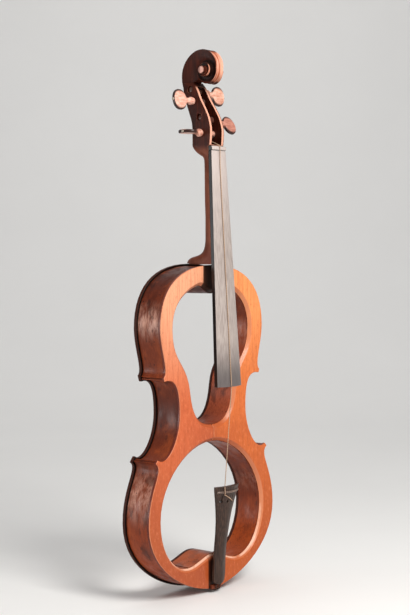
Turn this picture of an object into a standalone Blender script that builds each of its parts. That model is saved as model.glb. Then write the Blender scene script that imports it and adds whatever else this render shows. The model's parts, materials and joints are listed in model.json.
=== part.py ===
# Mute violin: an open frame body with two large openings, a one-piece neck, pegbox and scroll,
# fingerboard, four turned pegs, tailpiece on a gut loop, and one gut string. Metres, +Z up (scroll up),
# the front faces -Y, +X is the viewer's right. Construction is in millimetres from the bottom edge of
# the body (z = 0) and the front face (y = 0); the part's origin is the hanging point under the scroll.
import math

import bmesh
import bpy
from mathutils import Vector

MM = 0.001
HANG = (0.0, 24.0, 549.0)        # hanging point under the scroll, in construction millimetres
BODY_LENGTH = 356.0
PLATE = 4.0                      # front and back plate thickness
DEPTH = 38.0                     # front face to back face
RIB = 1.3                        # rib thickness
WALL = 2.0                       # inner wall thickness
CHAMFER = 4.0                    # chamfer round both openings, on the front
FRONT_OVER = 0.8                 # plate overhang over the ribs, front
BACK_OVER = 2.2                  # and back
GAP = 0.3                        # clearance between touching pieces
BOARD_TOP, BOARD_END = 480.0, 224.0
NUT_HALF, BOARD_HALF = 12.0, 20.3
EYE = (2.5, 567.0)               # scroll centre, y and z
PEGS = {   # name: side, y and z on the centre plane, slant in y and z along x, half width of the pegbox there, head turn in degrees, start and length of the head
    "peg_g": (-1, 7.2, 499.5, 0.0, 0.0, 12.1, 90.0, 23.0, 17.9),
    "peg_e": (1, 9.0, 515.7, -0.07, -0.14, 11.5, 28.0, 27.0, 17.4),
    "peg_d": (-1, 20.0, 535.1, 0.0, 0.0, 10.4, 7.0, 22.0, 19.2),
    "peg_a": (1, 23.9, 547.5, -0.057, -0.105, 9.7, 8.0, 25.5, 18.0),
}
HEAD = ((0.0, 3.0), (0.055, 5.6), (0.13, 8.0), (0.25, 9.9), (0.41, 11.0), (0.6, 11.1), (0.77, 10.0), (0.9, 7.8), (0.97, 5.0), (1.0, 2.6))   # peg head: share of its length, half height

for old in list(bpy.data.objects):
    bpy.data.objects.remove(old, do_unlink=True)
parts = bpy.data.collections.new("mute_violin")
tools = bpy.data.collections.new("cutters")
bpy.context.scene.collection.children.link(parts)
bpy.context.scene.collection.children.link(tools)


def material(name, color, rough, metal=0.0):
    m = bpy.data.materials.new(name)
    m.use_nodes = True
    b = m.node_tree.nodes["Principled BSDF"]
    b.inputs["Base Color"].default_value = (*color, 1)
    b.inputs["Roughness"].default_value = rough
    b.inputs["Metallic"].default_value = metal
    return m


FRONT = material("front_varnish", (0.62, 0.23, 0.08), 0.42)
RIBS = material("rib_varnish", (0.22, 0.07, 0.03), 0.45)
WALLS = material("inner_wall", (0.24, 0.07, 0.03), 0.5)
BLOCK = material("block_wood", (0.55, 0.36, 0.2), 0.7)
NECK = material("neck_varnish", (0.26, 0.08, 0.035), 0.45)
EBONY = material("ebony", (0.03, 0.028, 0.027), 0.4)
BOX = material("peg_wood", (0.72, 0.45, 0.32), 0.45)
BONE = material("bone", (0.85, 0.8, 0.7), 0.4)
GUT = material("gut", (0.75, 0.6, 0.35), 0.5)

root = bpy.data.objects.new("violin_frame", None)
root.location = tuple(-c * MM for c in HANG)
parts.objects.link(root)


def add(name, mesh, mat, parent=None, home=parts):
    obj = bpy.data.objects.new(name, mesh)
    mesh.materials.clear()
    mesh.materials.append(mat)
    home.objects.link(obj)
    obj.parent = parent or root
    if home is tools:
        obj.hide_render = True
        obj.display_type = "WIRE"
    return obj


def bezier(p0, p1, p2, p3, n):
    out = []
    for i in range(n + 1):
        t = i / n
        u = 1 - t
        out.append(tuple(u**3 * a + 3 * u * u * t * b + 3 * u * t * t * c + t**3 * d for a, b, c, d in zip(p0, p1, p2, p3)))
    return out


def ray(angle, length):
    return (length * math.cos(math.radians(angle)), length * math.sin(math.radians(angle)))


def shift(p, q, k=1.0):
    return (p[0] + k * q[0], p[1] + k * q[1])


def outline_arcs(n=12):
    """Right half of the body outline, bottom to top: lower bout, middle bout, upper bout."""
    tip_l, tip_lc, tip_uc, tip_u = (94.0, 147.7), (90.7, 151.5), (79.8, 233.0), (80.9, 237.1)
    lower = bezier((0, 0), (33, 0), (105, 28), (105, 82.5), n + 4)
    lower += bezier((105, 82.5), (105, 121.8), shift(tip_l, ray(30.8, 16.5), -1), tip_l, n)[1:]
    middle = bezier(tip_lc, shift(tip_lc, ray(216.3, 18.0)), (55.6, 169.3), (55.6, 196.3), n)
    middle += bezier((55.6, 196.3), (55.6, 223.6), shift(tip_uc, ray(-10.8, 19.1), -1), tip_uc, n)[1:]
    upper = bezier(tip_u, shift(tip_u, ray(146.3, 10.9)), (85.8, 267.0), (85.8, 288.5), n)
    upper += bezier((85.8, 288.5), (85.8, 329.5), (59, 356), (0, BODY_LENGTH), n + 2)[1:]
    return lower, middle, upper


def normals(path):
    """Left-hand normals of an open path."""
    out = []
    for i in range(len(path)):
        a, b = path[max(i - 1, 0)], path[min(i + 1, len(path) - 1)]
        dx, dz = b[0] - a[0], b[1] - a[1]
        length = math.hypot(dx, dz)
        out.append((-dz / length, dx / length))
    return out


def offset(path, d):
    """Moves an open path to its right by d (outward for the right half, run bottom to top)."""
    return [(p[0] - d * n[0], p[1] - d * n[1]) for p, n in zip(path, normals(path))]


def half_outline(d, n=12):
    """Right half of a plate outline, grown by d; its two ends lie on the centre line."""
    lower, middle, upper = (offset(a, d) for a in outline_arcs(n))
    lower[0] = (0.0, lower[0][1])
    upper[-1] = (0.0, upper[-1][1])
    return lower + middle + upper


def pear(n=10):
    """Right half of the upper opening on the front face, top centre to bottom centre."""
    top = bezier((0, 328.7), (4.5, 328.7), (8.0, 330.8), (11.5, 333.4), 5)
    top += bezier((11.5, 333.4), (15.5, 336.4), (18.5, 338.6), (26.2, 336.2), 6)[1:]
    side = bezier((26.2, 336.2), (47.5, 329.6), (67.2, 315.0), (67.2, 288.0), n)
    low = bezier((67.2, 288.0), (67.2, 250.0), (43.5, 250.0), (39.5, 220.0), n)
    foot = bezier((39.5, 220.0), (35.0, 186.0), (20.0, 177.0), (0.0, 177.0), n)
    return top + side[1:] + low[1:] + foot[1:]


def oval(n=10):
    """Right half of the lower opening on the front face, top centre to bottom centre."""
    a = bezier((0, 166.5), (42, 166.5), (87.5, 128), (87.5, 85), n + 2)
    b = bezier((87.5, 85), (87.5, 50), (66, 24.5), (41, 24.5), n)
    c = bezier((41, 24.5), (31, 24.5), (24, 28.0), (14, 31.4), 5)
    d = bezier((14, 31.4), (8, 33.6), (5, 34.4), (0, 34.4), 4)
    return a + b[1:] + c[1:] + d[1:]


def inset(path, d):
    """The half opening made smaller by d, its ends kept on the centre line."""
    out = offset(path, d)
    out[0] = (0.0, out[0][1])
    out[-1] = (0.0, out[-1][1])
    return [(max(x, 0.0), z) for x, z in out]


def mirror(path):
    return [(-x, z) for x, z in path]


def closed(half):
    return half + mirror(half)[-2:0:-1]


def flat(name, loops, y0, y1, mat, home=parts):
    """A flat piece between two depths: a filled 2D curve, extruded, then made a mesh."""
    curve = bpy.data.curves.new(name, "CURVE")
    curve.dimensions = "2D"
    curve.fill_mode = "BOTH"
    curve.extrude = (y1 - y0) / 2 * MM
    for loop in loops:
        s = curve.splines.new("POLY")
        s.points.add(len(loop) - 1)
        for point, (x, z) in zip(s.points, loop):
            point.co = (x * MM, z * MM, 0, 1)
        s.use_cyclic_u = True
    guide = bpy.data.objects.new(name + "_guide", curve)
    tools.objects.link(guide)
    bpy.context.view_layer.update()
    mesh = bpy.data.meshes.new_from_object(guide.evaluated_get(bpy.context.evaluated_depsgraph_get()))
    bpy.data.objects.remove(guide, do_unlink=True)
    bm = bmesh.new()
    bm.from_mesh(mesh)
    bmesh.ops.remove_doubles(bm, verts=bm.verts, dist=1e-6)
    for v in bm.verts:
        v.co = Vector((v.co.x, -v.co.z + (y0 + y1) / 2 * MM, v.co.y))
    bmesh.ops.recalc_face_normals(bm, faces=bm.faces)
    bm.to_mesh(mesh)
    bm.free()
    mesh.name = name
    return add(name, mesh, mat, home=home)


def loft(name, rings, mat, parent=None, home=parts, caps=True):
    """A skin through rings of equal point count, given in millimetres, closed at both ends."""
    bm = bmesh.new()
    rows = [[bm.verts.new(Vector(p) * MM) for p in ring] for ring in rings]
    count = len(rows[0])
    for a, b in zip(rows, rows[1:]):
        for i in range(count):
            j = (i + 1) % count
            bm.faces.new((a[i], a[j], b[j], b[i]))
    if caps:
        bm.faces.new(rows[0][::-1])
        bm.faces.new(rows[-1])
    bmesh.ops.remove_doubles(bm, verts=bm.verts, dist=1e-6)
    bmesh.ops.recalc_face_normals(bm, faces=bm.faces)
    mesh = bpy.data.meshes.new(name)
    bm.to_mesh(mesh)
    bm.free()
    return add(name, mesh, mat, parent, home)


def tube(name, path, radius, mat, sides=2):
    """A round cord along a smooth path: a bevelled curve with filled caps."""
    curve = bpy.data.curves.new(name, "CURVE")
    curve.dimensions = "3D"
    curve.bevel_depth = radius * MM
    curve.bevel_resolution = sides
    curve.resolution_u = 1
    curve.use_fill_caps = True
    s = curve.splines.new("POLY")
    s.points.add(len(path) - 1)
    for point, p in zip(s.points, path):
        point.co = (p[0] * MM, p[1] * MM, p[2] * MM, 1)
    curve.materials.append(mat)
    obj = bpy.data.objects.new(name, curve)
    obj.parent = root
    parts.objects.link(obj)
    return obj


def cylinder(name, r1, r2, a, b, mat=BLOCK, home=tools, sides=24):
    """A cone or cylinder from point a (radius r1) to point b (radius r2)."""
    a, b = Vector(a), Vector(b)
    bm = bmesh.new()
    bmesh.ops.create_cone(bm, cap_ends=True, segments=sides, radius1=r1 * MM, radius2=r2 * MM, depth=(b - a).length * MM)
    turn = (b - a).to_track_quat("Z", "Y").to_matrix().to_4x4()
    bmesh.ops.transform(bm, matrix=turn, verts=bm.verts)
    bmesh.ops.translate(bm, vec=(a + b) / 2 * MM, verts=bm.verts)
    mesh = bpy.data.meshes.new(name)
    bm.to_mesh(mesh)
    bm.free()
    return add(name, mesh, mat, home=home)


def boolean(obj, other, operation="DIFFERENCE"):
    m = obj.modifiers.new(other.name, "BOOLEAN")
    m.operation = operation
    m.object = other
    m.solver = "EXACT"


# ---- openings: tapered plugs give the chamfer on the front plate -------------------------------
def plug(name, half, base):
    """Solid of an opening: wide in front of the plate, narrowing through it along the chamfer."""
    rings = []
    for y, d in ((-1.0, 1.0), (CHAMFER, -CHAMFER), (PLATE + 2.0, -CHAMFER)):
        ring = closed(inset(half, base * d))
        rings.append([(x, y, z) for x, z in ring])
    return loft(name, rings, BLOCK, home=tools)


# an opening's half path runs top to bottom on the right, so its outward side is to its left
pear_plug = plug("pear_plug", pear(), -1.0)
oval_plug = plug("oval_plug", oval(), -1.0)


def half_region(d, side):
    edge = half_outline(d)
    c = GAP / 2
    loop = [(c, edge[0][1])] + [(max(x, c), z) for x, z in edge[1:-1]] + [(c, edge[-1][1])]
    return [(side * x, z) for x, z in loop]


for label, side in (("left", -1), ("right", 1)):
    plate = flat("front_plate_" + label, [half_region(0.0, side)], 0.0, PLATE, FRONT)
    boolean(plate, pear_plug)
    boolean(plate, oval_plug)

pear_in = inset(pear(), CHAMFER)
oval_in = inset(oval(), CHAMFER)
flat("back_plate", [closed(half_outline(BACK_OVER - FRONT_OVER)), closed(pear_in), closed(oval_in)], DEPTH - PLATE, DEPTH, FRONT)

Y0, Y1 = PLATE + GAP, DEPTH - PLATE - GAP


# ---- ribs: bent strips on the outer edge -------------------------------------------------------
def strip(path, outer, inner):
    return offset(path, outer) + offset(path, inner)[::-1]


def trimmed(path, start, end):
    """Cuts a length off each end of a path."""
    def cut(p, length):
        p = list(p)
        while length > 0:
            step = math.dist(p[0], p[1])
            if step > length:
                k = length / step
                p[0] = tuple(a + (b - a) * k for a, b in zip(p[0], p[1]))
                break
            length -= step
            p.pop(0)
        return p
    return cut(cut(path, start)[::-1], end)[::-1]


low_arc, mid_arc, up_arc = outline_arcs()
for label, side in (("left", -1), ("right", 1)):
    def sided(points):
        return [(side * x, z) for x, z in points]
    a = trimmed(low_arc, 0.0, 0.8)
    s = strip(a, -FRONT_OVER, -FRONT_OVER - RIB)
    flat("lower_rib_" + label, [sided([(max(x, GAP / 2), z) for x, z in s])], Y0, Y1, RIBS)
    flat("middle_rib_" + label, [sided(strip(trimmed(mid_arc, 0.8, 0.8), -FRONT_OVER, -FRONT_OVER - RIB))], Y0, Y1, RIBS)
    a = trimmed(up_arc, 0.8, 0.0)
    s = strip(a, -FRONT_OVER, -FRONT_OVER - RIB)
    flat("upper_rib_" + label, [sided([(max(x, GAP / 2), z) for x, z in s])], Y0, Y1, RIBS)


# ---- inner walls: bent bands round each opening, stopped at the blocks ---------------------------
def part_of(path, keep):
    return [p for p in path if keep(p)]


def band(name, half, keep):
    inner = part_of(half, keep)
    outer = offset(inner, -WALL)
    right = inner + outer[::-1]
    return inner, outer


inner, outer = band("w", pear_in, lambda p: p[0] > 24.5 or p[1] < 250)
outer[-1] = (0.0, outer[-1][1])
flat("upper_inner_wall", [inner + mirror(inner)[-2::-1] + mirror(outer) + outer[-2::-1]], Y0, Y1, WALLS)
inner, outer = band("w", oval_in, lambda p: p[1] > 60 or p[0] > 40.5)
outer[0] = (0.0, outer[0][1])
flat("lower_inner_wall", [mirror(inner)[:0:-1] + inner + outer[::-1] + mirror(outer)[1:]], Y0, Y1, WALLS)


# ---- blocks between the plates -----------------------------------------------------------------
def between(arc, x_max, extra):
    return [p for p in offset(arc, -FRONT_OVER - RIB - GAP) if abs(p[0]) < x_max] + extra


up_in = [p for p in offset(up_arc, -FRONT_OVER - RIB - GAP) if 0.5 < p[0] < 24.0]
top_edge = [p for p in pear_in if p[0] < 23.6 and p[1] > 300]
half = [(23.6, top_edge[-1][1] - 0.1)] + [(23.6, up_in[0][1] - 0.4)] + [p for p in up_in if p[0] < 23.0]
loop = top_edge + half
loop = loop + [(-x, z) for x, z in loop[::-1] if x > 0.01]
flat("upper_block", [loop], Y0, Y1, BLOCK)

low_in = [p for p in offset(low_arc, -FRONT_OVER - RIB - GAP) if 0.5 < p[0] < 39.0]
bump = [p for p in oval_in if p[0] < 39.6 and p[1] < 60]
half = low_in + [(39.6, low_in[-1][1] + 0.8), (39.6, bump[0][1])] + bump
loop = half + [(-x, z) for x, z in half[::-1] if x > 0.01]
flat("lower_block", [loop], Y0, Y1, BLOCK)


# corner blocks: the wedge between two ribs at each corner
def corner(name, arc_a, arc_b, side):
    flat(name, [[(side * x, z) for x, z in arc_a + arc_b[::-1]]], Y0, Y1, BLOCK)


def last(path, length):
    out = [path[-1]]
    for p in path[-2::-1]:
        out.append(p)
        if math.dist(p, path[-1]) > length:
            break
    return out[::-1]


low_off, mid_off, up_off = (offset(a, -FRONT_OVER - RIB - GAP) for a in (low_arc, mid_arc, up_arc))
for label, side in (("left", -1), ("right", 1)):
    corner("lower_corner_block_" + label, trimmed(last(low_off, 18), 0, 1.8), trimmed(last(mid_off[::-1], 16), 0, 1.8), side)
    corner("upper_corner_block_" + label, trimmed(last(mid_off, 18), 0, 1.8), trimmed(last(up_off[::-1], 18), 0, 1.8), side)

# bridge block: carries the front between the two openings
top = [p for p in offset(pear_in, -WALL - GAP) if p[0] < 14 and p[1] < 250]
bottom = [p for p in offset(oval_in, -WALL - GAP) if p[0] < 14 and p[1] > 100]
ztop = min(p[1] for p in top) - 0.2
zbot = max(p[1] for p in bottom) + 0.2
flat("bridge_block", [[(-12, zbot), (12, zbot), (12, ztop), (-12, ztop)]], Y0, Y1, BLOCK)


# ---- neck, pegbox and scroll --------------------------------------------------------------------
def smooth(table, z):
    """Smooth reading between the rows of a design table (value at a height)."""
    rows = sorted(table)
    if z <= rows[0][0]:
        return rows[0][1]
    for (z0, v0), (z1, v1) in zip(rows, rows[1:]):
        if z <= z1:
            return v0 + (v1 - v0) * (z - z0) / (z1 - z0)
    return rows[-1][1]


def board_edge(z):
    """Depth of the fingerboard's front edge line at a height."""
    return -8.1 - (BOARD_TOP - z) * 0.0557


def board_half(z):
    return NUT_HALF + (BOARD_HALF - NUT_HALF) * (BOARD_TOP - z) / (BOARD_TOP - BOARD_END)


def glue(z):
    return board_edge(z) + 4.4


HEEL = ((356.6, 33.4), (357.75, 33.4), (357.9, 36.3), (358.5, 36.0), (360.5, 34.8), (362.5, 32.6), (364.2, 28.5), (365.4, 23.5), (366.8, 17.5), (368.8, 13.0), (372, 9.6), (377, 7.4), (384, 6.3), (408, 6.3), (426, 7.3), (444, 7.6), (457, 7.8), (466, 8.1), (470, 8.5), (472.5, 9.6), (474, 10.9))
RINGS = [356.6, 357.75, 357.9, 358.5, 360.5, 362.5, 364.2, 365.4, 366.8, 368.8, 372, 377, 384, 408, 426, 444, 457, 466, 470, 472.5, 474]
count = 20
rings = []
for z in RINGS:
    a, front, back = board_half(z) - 0.3, glue(z) + GAP, smooth(HEEL, z)
    ring = []
    for i in range(count):
        t = math.pi * i / (count - 1)
        ring.append((a * math.cos(t), front + (back - front) * math.sin(t) ** 0.9, z))
    rings.append(ring)

PEGBOX_BACK = ((474, 10.9), (476.3, 14.9), (478.5, 17.8), (481, 20.0), (484, 21.3), (488, 21.8), (500, 21.8), (509, 22.4), (524, 27.6), (538, 33.2), (550, 36.6), (556, 37.6))
PEGBOX_FRONT = ((474, -3.9), (480, -3.7), (485.2, -3.4), (485.7, -4.6), (493, -5.6), (501, -6.0), (513.6, -3.4), (524.3, 1.9), (537.5, 10.1), (546, 14.2), (552, 17.9), (556, 21.0))
PEGBOX_HALF = ((474, 11.9), (486, 12.1), (500, 12.0), (524, 11.0), (545, 9.8), (556, 7.9))
for z in (475.2, 476.3, 478.5, 481, 484, 485.2, 485.7, 488, 493, 501, 509, 513.6, 524.3, 537.5, 546, 552, 556):
    w, front, back = smooth(PEGBOX_HALF, z), smooth(PEGBOX_FRONT, z), smooth(PEGBOX_BACK, z)
    k = min(max((z - 474) / 12.0, 0.0), 1.0)
    ring = []
    for i in range(count):
        t = math.pi * i / (count - 1)
        u = (w * math.cos(t), front + (back - front) * math.sin(t) ** 0.9)
        c, s = math.cos(t), math.sin(t)
        power = 0.28
        b = (w * math.copysign(abs(c) ** power, c), front + (back - front) * s ** power)
        ring.append((u[0] + (b[0] - u[0]) * k, u[1] + (b[1] - u[1]) * k, z))
    rings.append(ring)
neck = loft("neck", rings, NECK)

# scroll: turns rising towards the eye on both faces
TURNS = ((-30, 37.6), (0, 35.6), (45, 29.5), (90, 22.6), (135, 16.7), (180, 13.2), (225, 13.4), (270, 14.0), (315, 13.2), (360, 11.0), (450, 8.8), (540, 7.8), (630, 6.8), (720, 5.6), (810, 4.6), (900, 4.0))
WIDTH = ((-30, 7.6), (0, 7.5), (90, 6.4), (180, 5.8), (270, 7.0), (360, 8.8), (450, 10.4), (540, 11.8), (630, 13.2), (720, 14.6), (810, 16.0), (900, 17.0))


def turn_radius(phi):
    return smooth(TURNS, phi)


steps = 32
# the scroll is a stack of nested spiral discs, each one a turn further in and wider
def spiral_disc(name, first, half_width):
    ring = []
    for i in range(steps + 1):
        phi = first + 360 * i / steps
        r = turn_radius(phi)
        ring.append((EYE[0] + r * math.cos(math.radians(phi)), EYE[1] + r * math.sin(math.radians(phi))))
    bm = bmesh.new()
    left = [bm.verts.new(Vector((-smooth(WIDTH, first + 360 * i / steps) * MM, p[0] * MM, p[1] * MM))) for i, p in enumerate(ring)]
    right = [bm.verts.new(Vector((smooth(WIDTH, first + 360 * i / steps) * MM, p[0] * MM, p[1] * MM))) for i, p in enumerate(ring)]
    n = len(ring)
    for i in range(n):
        j = (i + 1) % n
        bm.faces.new((left[i], left[j], right[j], right[i]))
    bm.faces.new(left[::-1])
    bm.faces.new(right)
    bmesh.ops.triangulate(bm, faces=[f for f in bm.faces if len(f.verts) > 4])
    bmesh.ops.recalc_face_normals(bm, faces=bm.faces)
    mesh = bpy.data.meshes.new(name)
    bm.to_mesh(mesh)
    bm.free()
    return add(name, mesh, NECK, home=tools)


outer_turn = spiral_disc("outer_turn", -24, 7)
second_turn = spiral_disc("second_turn", 330, 11)
third_turn = spiral_disc("third_turn", 560, 14)
eye = cylinder("eye_post", 3.9, 3.9, (-17, EYE[0], EYE[1]), (17, EYE[0], EYE[1]), NECK, tools, 20)
for piece in (outer_turn, second_turn, third_turn, eye):
    boolean(neck, piece, "UNION")

# peg slot between the cheeks, and the peg holes
SLOT = ((486.5, 8.2), (500, 8.2), (524, 7.2), (540, 6.3), (550, 5.5))
rings = []
for z in (486.5, 493, 501, 513, 524, 537, 546, 550):
    w, floor = smooth(SLOT, z), smooth(PEGBOX_BACK, z) - 6.0
    front = -30.0
    if z > 520:
        front = smooth(PEGBOX_FRONT, z) - 10.0
    rings.append([(-w, front, z), (w, front, z), (w, floor, z), (-w, floor, z)])
slot = loft("slot", rings, NECK, home=tools)
boolean(neck, slot)
HOLE = 0.35
for name, (side, y, z, sy, sz, w, turn, start, length) in PEGS.items():
    a = side * (w + 6)
    hole = cylinder(name + "_hole", 3.9 + HOLE, 3.3 + HOLE, (a, y + sy * a, z + sz * a), (-a, y - sy * a, z - sz * a))
    boolean(neck, hole)

# ---- fingerboard and nut ------------------------------------------------------------------------
rings = []
for z in (BOARD_END, BOARD_TOP):
    a, edge = board_half(z), board_edge(z)
    ring = [(a, edge + 4.4, z), (-a, edge + 4.4, z)]
    radius = 42.0
    base = math.sqrt(radius**2 - a * a)
    for i in range(13):
        x = -a + 2 * a * i / 12
        ring.append((x, edge - (math.sqrt(radius**2 - x * x) - base), z))
    rings.append(ring)
board = loft("fingerboard", rings, EBONY)
a, b = (0, glue(BOARD_END) + 20.5, BOARD_END - 10), (0, glue(346) + 20.5, 346)
scoop = cylinder("board_scoop", 24.0, 22.0, a, b)
boolean(board, scoop)

rings = []
for z, rise in ((480.3, 0.2), (481.0, 0.9), (483.6, 0.8), (484.9, -0.2)):
    a, edge = 11.9, board_edge(480) - rise
    ring = [(a, glue(z) + GAP - 0.5, z), (-a, glue(z) + GAP - 0.5, z)]
    for i in range(9):
        x = -a + 2 * a * i / 8
        ring.append((x, edge - (math.sqrt(42.0**2 - x * x) - math.sqrt(42.0**2 - a * a)), z))
    rings.append(ring)
loft("nut", rings, EBONY)


# ---- pegs ---------------------------------------------------------------------------------------
def peg(name, side, y, z, sy, sz, w, turn, start, length):
    pivot = bpy.data.objects.new(name + "_axis", None)
    pivot.location = (0, y * MM, z * MM)
    pivot.rotation_mode = "QUATERNION"
    pivot.rotation_quaternion = Vector((1, 0, 0)).rotation_difference(Vector((1, sy, sz)))
    pivot.parent = root
    parts.objects.link(pivot)
    rows = [(-w + 1.4, 3.35, 3.35, 1), (start - 10.2, 3.9, 3.9, 1), (start - 10.0, 4.2, 4.2, 1), (start - 7.5, 4.3, 4.3, 1), (start - 7.0, 3.1, 3.1, 1)]
    for share, wide in HEAD:
        end = share in (0.0, 1.0)
        rows.append((start + length * share, wide, 1.9 if end else 2.2, 0.7 if end else 0.5))
    k = math.radians(turn)
    rings = []
    for s, wide, thick, edge in rows:
        ring = []
        for i in range(16):
            t = 2 * math.pi * i / 16
            c, d = math.cos(t), math.sin(t)
            u, v = wide * c, thick * math.copysign(abs(d) ** edge, d)
            ring.append((side * s, u * math.sin(k) + v * math.cos(k), u * math.cos(k) - v * math.sin(k)))
        rings.append(ring)
    loft(name, rings, BOX, pivot)
    tip = start + length
    dot = cylinder(name + "_pin", 1.5, 1.3, (side * (tip + 0.3), 0, 0), (side * (tip + 1.5), 0, 0), BONE, parts, 12)
    dot.parent = pivot


for name, row in PEGS.items():
    peg(name, *row)

# ---- tailpiece, saddle, tailgut, end button --------------------------------------------------------
TAIL_HALF = ((5.6, 3.4), (6.6, 6.6), (9.5, 8.7), (16, 9.6), (30, 9.4), (48, 9.2), (62, 9.6), (76, 10.8), (88, 12.9), (98, 15.4), (106, 17.7), (113, 19.5), (115.3, 19.7))
TAIL_EDGE = ((5.6, -6.0), (18, -6.4), (41, -7.6), (64, -10.6), (87.5, -13.4), (115.3, -17.4))


def tail_lean(z):
    """The tailpiece stands a little to the right and leans that way."""
    return 0.7 + (z - 5.6) * 0.009


def tail_face(k, z):
    """Depth of the crowned front of the tailpiece; k runs from -1 to 1 across it."""
    return smooth(TAIL_EDGE, z) - (2.6 + 4.2 * (z - 5.6) / 110) * (1 - k * k)


rings = []
for z in (5.6, 6.6, 9.5, 16, 30, 48, 62, 76, 88, 98, 106, 113, 115.3):
    a, edge, lean = smooth(TAIL_HALF, z), smooth(TAIL_EDGE, z), tail_lean(z)
    ring = []
    for i in range(9):
        k = 1 - 2 * i / 8
        ring.append((lean + k * a, edge + 2.4 + 0.6 * (tail_face(k, z) - edge), z))
    for i in range(9):
        k = -1 + 2 * i / 8
        ring.append((lean + k * a, tail_face(k, z), z))
    rings.append(ring)
tail = loft("tailpiece", rings, EBONY)
for i, x in enumerate((-9.4, -2.2, 5.2, 12.4)):
    keyhole = cylinder("keyhole_%d" % i, 1.7, 1.7, (x, -32, 98.4), (x, 0, 98.4), sides=12)
    boolean(tail, keyhole)
    rings = [[(x - 0.65, y, 98.4), (x + 0.65, y, 98.4), (x + 0.65, y, 105.2), (x - 0.65, y, 105.2)] for y in (-32, 0)]
    key_slot = loft("key_slot_%d" % i, rings, BLOCK, home=tools)
    boolean(tail, key_slot)

rings = []
for z, rise in ((107.8, 0.4), (108.5, 1.2), (109.7, 1.2), (110.4, 0.4)):
    ring = []
    for i in range(9):
        k = (-1 + 2 * i / 8) * 17.6 / smooth(TAIL_HALF, z)
        ring.append((tail_lean(z) + k * smooth(TAIL_HALF, z), tail_face(k, z) - GAP, z))
    ring += [(x, y - rise, z) for x, y, z in ring[::-1]]
    rings.append(ring)
loft("tailpiece_fret", rings, EBONY)

rings = []
for y, low, high in ((-2.9, 0.2, 4.2), (-2.2, -0.2, 4.8), (-0.3, -0.2, 4.8)):
    rings.append([(-8, y, low), (8, y, low), (8, y, high), (-8, y, high)])
loft("saddle", rings, NECK)

gut = []
for side in (-1, 1):
    run = [(2.6, -4.7, 5.2), (2.6, -4.5, 3.0), (2.6, -4.3, 1.0), (2.6, -3.8, -0.7), (2.6, -2.6, -1.3), (2.6, 2.0, -1.3), (2.9, 8.0, -1.25), (3.4, 14.0, -1.2), (3.7, 18.0, -1.2)]
    run = [(side * x, y, z) for x, y, z in run]
    gut += run if side < 0 else []
    if side > 0:
        gut += [(-2.9, 20.9, -1.2), (-1.2, 22.4, -1.2), (1.2, 22.4, -1.2), (2.9, 20.9, -1.2)] + run[::-1]
tube("tailgut", gut, 0.7, GUT)

# end button: a low turned head on a stem in the lower block
profile = [(0.0, 12.0), (2.4, 12.0), (2.6, -2.1), (5.2, -2.1), (4.9, -2.9), (3.0, -3.4), (0.0, -3.5)]
rings = []
for r, z in profile:
    r = max(r, 0.02)
    rings.append([(r * math.cos(2 * math.pi * i / 20), 19 + r * math.sin(2 * math.pi * i / 20), z) for i in range(20)])
loft("end_button", rings, NECK)
hole = cylinder("button_hole", 3.0, 3.0, (0, 19, -5), (0, 19, 12.6))
for name in ("lower_block", "lower_rib_left", "lower_rib_right"):
    boolean(bpy.data.objects[name], hole)


# ---- the gut string --------------------------------------------------------------------------------
def crown(z):
    a = board_half(z)
    return board_edge(z) - (42.0 - math.sqrt(42.0**2 - a * a))


R = 0.45
up = [(-3.0, 8.4, 494.2), (-2.8, 4.6, 492.7), (-2.5, -1.0, 490.0), (-2.2, -6.5, 487.6), (-2.0, -10.6, 485.8), (-1.8, crown(480) - 1.75, 483.6), (-1.7, crown(480) - 1.9, 481.4)]
for i in range(1, 17):
    z = 480 - (480 - 224.6) * i / 16
    x = -1.7 - 2.2 * i / 16
    lift = 0.95 if i < 2 else 0.85
    up.append((x, crown(z) - lift, z))
tube("string_board", up, R, GUT)
end = up[-1]
low = (-10.1, -23.7, 116.2)
span = [tuple(a + (b - a) * i / 14 for a, b in zip((end[0], end[1], 224.0), low)) for i in range(15)]
tube("string_span", span, R, GUT)
knot = [(-10.05, -23.7, 115.6), (-9.8, -23.55, 112.6), (-9.6, -23.5, 110.6), (-9.4, -23.45, 109.1), (-9.1, -23.1, 107.5)]
for x, z in ((-8.2, 106.4), (-6.2, 105.4), (-3.9, 104.2), (-1.6, 102.8), (0.6, 101.3), (2.6, 99.9), (4.4, 98.8)):
    knot.append((x, tail_face((x - tail_lean(z)) / smooth(TAIL_HALF, z), z) - 0.8, z))
tube("string_knot", knot, 0.5, GUT)

pivot = bpy.data.objects["peg_g_axis"]
outer_r, inner_r = 4.75, 4.0
rings = []
for x, r in ((-5.2, inner_r), (-5.2, outer_r), (-4.2, outer_r - 0.35), (-3.2, outer_r), (-2.2, outer_r - 0.35), (-1.2, outer_r), (-1.2, inner_r), (-5.2, inner_r)):
    rings.append([(x, r * math.cos(2 * math.pi * i / 20), r * math.sin(2 * math.pi * i / 20)) for i in range(20)])
loft("string_winding", rings, GUT, pivot, caps=False)
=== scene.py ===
# Mute violin: the looks. Metres, +Z up (scroll up), the front faces -Y, +X is the viewer's right.
# Design figures are in millimetres from the bottom edge of the body and the front face, as for the part.
import json
import math

import bmesh
import bpy
from mathutils import Matrix, Vector


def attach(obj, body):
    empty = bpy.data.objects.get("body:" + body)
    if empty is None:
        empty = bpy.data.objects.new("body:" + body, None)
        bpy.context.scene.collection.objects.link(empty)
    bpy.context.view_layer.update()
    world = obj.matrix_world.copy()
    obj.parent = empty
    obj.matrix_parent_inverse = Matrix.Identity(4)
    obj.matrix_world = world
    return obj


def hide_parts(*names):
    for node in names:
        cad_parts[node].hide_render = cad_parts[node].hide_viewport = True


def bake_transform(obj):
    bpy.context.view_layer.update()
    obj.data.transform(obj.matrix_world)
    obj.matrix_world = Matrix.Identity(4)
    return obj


MM = 0.001
HANG = (0.0, 24.0, 549.0)


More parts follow.
